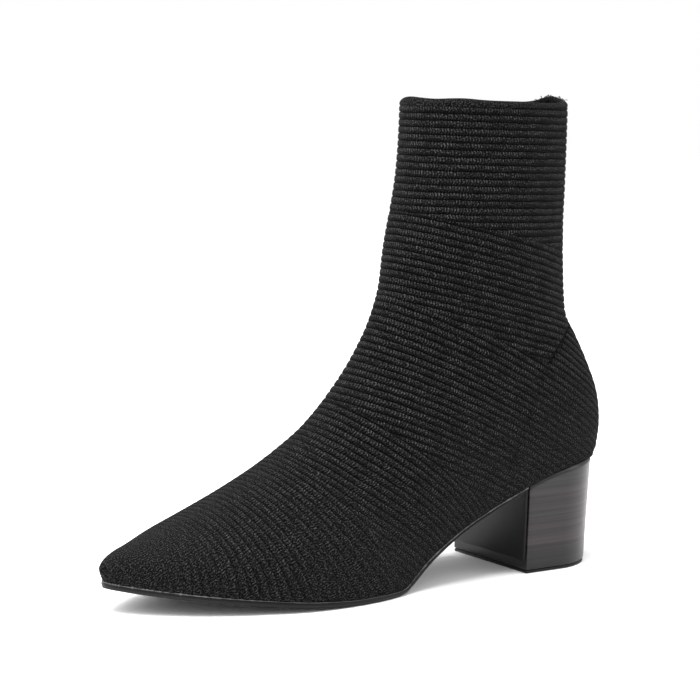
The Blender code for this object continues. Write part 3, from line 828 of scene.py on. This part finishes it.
def knit_material():
    """Polyester yarn, flat-knitted in ribs: matt, with bright loops along each rib's upper side that are
    partly painted highlight, and painted shade in its valleys.
    """
    made, tree, shader = new_material("rib_knit_polyester_yarn")
    uv = add_node(tree, "UVMap", {}, uv_map="knit")
    run = add_node(tree, "SeparateXYZ", {0: uv}, 0)
    share = add_node(tree, "Math", {0: add_node(tree, "SeparateXYZ", {0: uv}, 1)}, operation="FRACT")
    ribbed = add_node(tree, "Attribute", {}, "Fac", attribute_name="ribbed")
    # this mark is the seams' own dark, and painted shade down inside the collar
    seam_and_painted_shade = add_node(tree, "Attribute", {}, "Fac", attribute_name="seam_and_painted_shade")
    noises = []
    for scale, detail in (((1.6, 4.4, 1.0), 2.0), ((0.25, 0.6, 1.0), 1.0), ((0.13, 0.7, 1.0), 1.0)):
        spot = add_node(tree, "Mapping", {"Vector": uv, "Scale": scale})
        look = {"Vector": spot, "Scale": 1.0, "Detail": detail, "Roughness": 0.7}
        noises.append(add_node(tree, "TexNoise", look, "Fac"))
    fine, drift, patch = noises
    # loops follow one another along the rib, drawn coarser than the real ones; they slant both
    # ways from the rib's crest, and noise shifts and bends them
    slant = add_node(tree, "Math", {0: share, 1: 0.5}, operation="SUBTRACT")
    slant = add_node(tree, "Math", {0: slant}, operation="ABSOLUTE")
    bend = add_node(tree, "Math", {0: drift, 1: 6.0}, operation="MULTIPLY")
    terms = {0: run, 1: 2 * math.pi / LOOP_PITCH, 2: bend}
    turn = add_node(tree, "Math", terms, operation="MULTIPLY_ADD")
    lean = add_node(tree, "Math", {0: slant, 1: ribbed}, operation="MULTIPLY")
    turn = add_node(tree, "Math", {0: lean, 1: 6.0, 2: turn}, operation="MULTIPLY_ADD")
    wave = add_node(tree, "Math", {0: turn}, operation="SINE")
    stitch = add_node(tree, "Math", {0: wave, 1: 0.5, 2: 0.5}, operation="MULTIPLY_ADD")
    steps = []
    for value, low, high in (
        (share, 0.22, 0.62),
        (share, 0.98, 0.84),
        (slant, 0.39, 0.485),
        (fine, 0.34, 0.52),
        (ribbed, 0.1, 0.9),
        (stitch, 0.4, 0.95),
        (patch, 0.38, 0.6),
        (fine, 0.50, 0.60),
    ):
        limits = {"Value": value, "From Min": low, "From Max": high}
        steps.append(add_node(tree, "MapRange", limits, interpolation_type="SMOOTHSTEP"))
    rising, falling, cleft, unfilled, deep, loop, lit, speck = steps
    # painted highlight: a bright line of loops runs along each rib's upper side, as if lit from above;
    # knit without ribs has 0.4 of it
    line = add_node(tree, "Math", {0: rising, 1: falling}, operation="MULTIPLY")
    line = add_node(tree, "Math", {0: line, 1: 0.4}, operation="SUBTRACT")
    line = add_node(tree, "Math", {0: line, 1: ribbed, 2: 0.4}, operation="MULTIPLY_ADD")
    # painted shade: the valley between two ribs is painted nearly black, with a few fibres over it
    painted_valley_shade = add_node(tree, "Math", {0: cleft, 1: unfilled}, operation="MULTIPLY")
    painted_valley_shade = add_node(tree, "Math", {0: painted_valley_shade, 1: deep}, operation="MULTIPLY")
    # how much of each pattern shows: value, factor and rest
    shares = []
    for value, factor, rest in (
        (lit, 0.7, 0.3),
        (ribbed, 0.85, 0.15),
        (speck, 0.85, 0.15),
        (ribbed, -0.4, 0.72),
        (line, 0.7, 0.3),
    ):
        terms = {0: value, 1: factor, 2: rest}
        shares.append(add_node(tree, "Math", terms, operation="MULTIPLY_ADD"))
    # the loops and specks are the yarn's lighter fibres, made brightest on each rib's upper side by
    # painted highlight
    fibres_and_painted_highlight = loop
    for factor in shares[:3]:
        fibres_and_painted_highlight = add_node(tree, "Math", {0: fibres_and_painted_highlight, 1: factor}, operation="MULTIPLY")
    grain = add_node(tree, "Math", {0: speck, 1: shares[3]}, operation="MULTIPLY")
    fibres_and_painted_highlight = add_node(tree, "Math", {0: grain, 1: fibres_and_painted_highlight}, operation="ADD")
    fibres_and_painted_highlight = add_node(tree, "Math", {0: fibres_and_painted_highlight, 1: shares[4]}, operation="MULTIPLY")
    # painted highlight: the body is mixed lighter, and the fibres brighter, on each rib's upper side
    colour = hex_colour("#030303")
    # painted shade: the valleys mix to nearly black; the seam mark darkens the seams and paints shade
    # inside the collar
    for factor, text in ((line, "#080808"), (fibres_and_painted_highlight, "#4a4a4b"), (painted_valley_shade, "#010101"), (seam_and_painted_shade, "#020202")):
        layers = {"Factor": factor, "A": colour, "B": hex_colour(text)}
        colour = add_node(tree, "Mix", layers, "Result", data_type="RGBA")
    tree.links.new(colour, shader.inputs["Base Color"])
    shader.inputs["Roughness"].default_value = 0.95
    shader.inputs["Specular IOR Level"].default_value = 0.04
    shader.inputs["Sheen Weight"].default_value = 0.01
    shader.inputs["Sheen Roughness"].default_value = 0.4
    height = add_node(tree, "Math", {0: stitch, 1: 0.6, 2: fine}, operation="MULTIPLY_ADD")
    bump = add_node(tree, "Bump", {"Height": height, "Strength": 0.8, "Distance": 0.0004})
    tree.links.new(bump, shader.inputs["Normal"])
    return made


def plain_material(name, colour, roughness, specular=0.5):
    made, _, shader = new_material(name)
    shader.inputs["Base Color"].default_value = hex_colour(colour)
    shader.inputs["Roughness"].default_value = roughness
    shader.inputs["Specular IOR Level"].default_value = specular
    return made


def wrap_material():
    """Printed wrap over the heel: thin level layers of brown under a clear gloss coat."""
    made, tree, shader = new_material("stacked_look_heel_wrap")
    place = add_node(tree, "TexCoord", {}, "Object")
    height = add_node(tree, "SeparateXYZ", {0: place}, 2)
    # fine layers are about 1.6 mm thick and bands of them 4 mm, both nearly level
    noises = []
    for scale, detail in (((5.0, 5.0, 620.0), 2.0), ((4.0, 4.0, 230.0), 1.0)):
        spot = add_node(tree, "Mapping", {"Vector": place, "Scale": scale})
        look = {"Vector": spot, "Scale": 1.0, "Detail": detail}
        noises.append(add_node(tree, "TexNoise", look, "Fac"))
    fine, bands = noises
    half = add_node(tree, "Math", {0: bands, 1: 0.5}, operation="MULTIPLY")
    both = add_node(tree, "Math", {0: fine, 1: 0.5, 2: half}, operation="MULTIPLY_ADD")
    # the brown shows in the middle of the heel's height, and the layers are grey above and below it
    steps = []
    for value, low, high in ((both, 0.38, 0.64), (height, 0.004, 0.014), (height, 0.046, 0.030)):
        limits = {"Value": value, "From Min": low, "From Max": high}
        steps.append(add_node(tree, "MapRange", limits, interpolation_type="SMOOTHSTEP"))
    layer, above, below = steps
    middle = add_node(tree, "Math", {0: above, 1: below}, operation="MULTIPLY")
    tones = []
    for grey, brown in (("#0e0d0e", "#060505"), ("#1a191a", "#2b2124")):
        pair = {"Factor": middle, "A": hex_colour(grey), "B": hex_colour(brown)}
        tones.append(add_node(tree, "Mix", pair, "Result", data_type="RGBA"))
    pair = {"Factor": layer, "A": tones[0], "B": tones[1]}
    tree.links.new(add_node(tree, "Mix", pair, "Result", data_type="RGBA"), shader.inputs["Base Color"])
    shader.inputs["Roughness"].default_value = 0.5
    shader.inputs["Specular IOR Level"].default_value = 0.1
    shader.inputs["Coat Weight"].default_value = 0.48
    shader.inputs["Coat Roughness"].default_value = 0.12
    bump = add_node(tree, "Bump", {"Height": fine, "Strength": 0.12, "Distance": 0.0002})
    tree.links.new(bump, shader.inputs["Normal"])
    return made


def dress(piece, material):
    piece.data.materials.clear()
    piece.data.materials.append(material)


def put_on(piece, material, node=None):
    """Dresses a piece and sets it on the boot's one body, in place of a node if one is given."""
    dress(piece, material)
    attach(piece, "root")
    if node:
        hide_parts(node)


def make_camera():
    data = bpy.data.cameras.new("view")
    data.lens = 111.90
    data.sensor_width = 36.0
    camera = bpy.data.objects.new("view", data)
    bpy.context.scene.collection.objects.link(camera)
    eye, aim = Vector((0.6281, 0.7914, 0.2251)), Vector((0.1034, 0.0, 0.1043))
    turn = (aim - eye).to_track_quat("-Z", "Y").to_matrix()
    roll = Matrix.Rotation(math.radians(0.756), 3, "Z")
    camera.matrix_world = Matrix.Translation(eye) @ (turn @ roll).to_4x4()
    data.clip_start = 0.05
    bpy.context.scene.camera = camera


def make_light(name, place, aim, size, power):
    data = bpy.data.lights.new(name, "AREA")
    data.shape = "RECTANGLE"
    data.size, data.size_y = size
    data.energy = power
    light = bpy.data.objects.new(name, data)
    light.location = place
    light.rotation_euler = (Vector(aim) - Vector(place)).to_track_quat("-Z", "Y").to_euler()
    bpy.context.scene.collection.objects.link(light)


def make_studio():
    shape = bmesh.new()
    bmesh.ops.create_grid(shape, x_segments=1, y_segments=1, size=4.0)
    floor = finished(shape, "studio_floor")
    # seamless paper, uncoated: plain white without any gloss
    dress(floor, plain_material("white_paper_floor", "#ffffff", 0.8))
    world = bpy.data.worlds.new("studio")
    world.use_nodes = True
    world.node_tree.nodes["Background"].inputs["Color"].default_value = (1, 1, 1, 1)
    world.node_tree.nodes["Background"].inputs["Strength"].default_value = 1.0
    bpy.context.scene.world = world
    make_light("overhead", (0.5, 0.05, 1.7), (0.07, 0, 0.1), (1.2, 1.2), 43)
    make_light("toe_side", (1.3, -0.35, 1.0), (0.07, 0, 0.1), (0.8, 1.2), 14)
    make_light("heel_side", (-1.1, 0.75, 1.0), (0.0, 0, 0.1), (0.8, 1.2), 5.5)
    bpy.context.scene.view_settings.view_transform = "Standard"


def build():
    knit = knit_material()
    collar_edge = crossing(SURFACE[..., 2], [BOOT_HEIGHT - HEM])[:, 0]
    edges = [collar_edge]
    for line in (ANKLE_LINE, HEEL_LINE, INSTEP_LINE, TOE_LINE):
        edges.append(crossing(line_field(line), [0.0])[:, 0])
    edges.append(np.zeros(COLUMNS))
    panels = (
        ("collar_knit", collar_ribs),
        ("ankle_knit", ankle_ribs),
        ("heel_knit", heel_ribs),
        ("instep_knit", instep_ribs),
        ("toe_knit", toe_ribs),
    )
    for (name, ribs), upper_edge, lower_edge in zip(panels, edges, edges[1:]):
        panel = knit_panel(name, ribs, upper_edge, np.minimum(lower_edge, upper_edge))
        put_on(panel, knit, "upper")
    put_on(make_hem(), knit, "upper")
    # weft-knitted jersey, brushed: a soft dark grey with no gloss
    jersey = plain_material("jersey_lining", "#1d1d1e", 0.9)
    put_on(make_lining(), jersey, "upper")
    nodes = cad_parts
    # cloth glued to the insole board: matt, a little lighter than the lining
    dress(nodes["insole"], plain_material("sock_lining", "#262627", 0.9))
    # moulded rubber, smooth from its mould: satin, with a faint broad shine along its edge
    rubber = plain_material("outsole_rubber", "#080809", 0.42, specular=0.2)
    outsole = rounded_copy(nodes["outsole"], "outsole_rounded", OUTSOLE_EDGE)
    put_on(outsole, rubber, "outsole")
    put_on(make_heel(), wrap_material(), "heel_block")
    # dense rubber, cut and ground flush: black and duller than the outsole
    ground = plain_material("top_lift_rubber", "#0a0a0a", 0.6, specular=0.3)
    top_lift = rounded_copy(nodes["top_lift"], "top_lift_rounded", TOP_LIFT_EDGE)
    put_on(top_lift, ground, "top_lift")
    # contact cement, squeezed out and dried: grey beads with some gloss
    put_on(make_glue_line(), plain_material("dried_cement", "#4c4c4c", 0.35))
    # cut ends of the same polyester yarn: black, matt fluff
    put_on(make_threads(), plain_material("loose_yarn", "#0c0c0d", 0.9, specular=0.1))


make_camera()
make_studio()
build()
